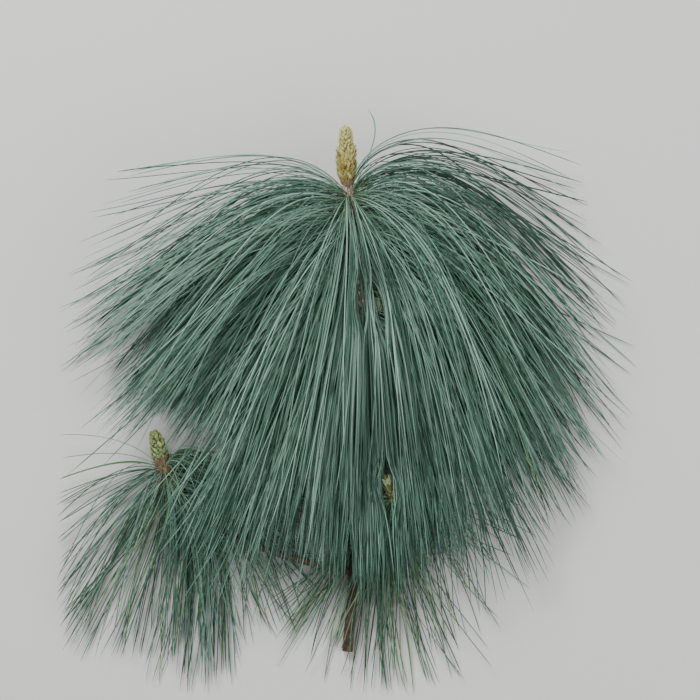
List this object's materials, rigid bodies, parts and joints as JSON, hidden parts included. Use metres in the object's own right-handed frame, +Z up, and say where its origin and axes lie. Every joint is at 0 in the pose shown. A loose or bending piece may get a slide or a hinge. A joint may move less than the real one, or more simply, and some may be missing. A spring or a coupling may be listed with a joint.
{
  "type": "cut bhutan pine branch",
  "caption": "Cut bhutan pine branch lying down: a leader shoot with its candle under a fountain of long drooping needles, and side shoots with tufts of their own.",
  "frame": {"origin": "centre of the lying branch's outline, at the level of the surface it lies on", "axes": "+Z up, square to the surface it lies on; +Y along the leader shoot towards the tip of its candle; +X across the branch, with the longer side shoot on the -X side"},
  "size_m": [0.3202, 0.323, 0.0666],
  "materials": {
    "bark": "rough",
    "needles": "satin",
    "candle": "satin",
    "young_candle": "satin"
  },
  "bodies": {
    "root": {"leader_stem": "bark", "left_shoot": "bark", "right_shoot": "bark", "bud_shoot": "bark", "leader_candle": "candle", "left_candle": "young_candle", "right_candle": "young_candle", "side_bud": "young_candle", "needles_right_arch": "needles", "needles_left_arch": "needles", "needles_right_fall": "needles", "needles_left_fall": "needles", "needles_right_curtain": "needles", "needles_left_curtain": "needles", "needles_under_left": "needles", "needles_under_right": "needles", "left_tuft_outer": "needles", "left_tuft_inner": "needles", "right_tuft_outer": "needles", "right_tuft_inner": "needles"}
  },
  "joints": []
}
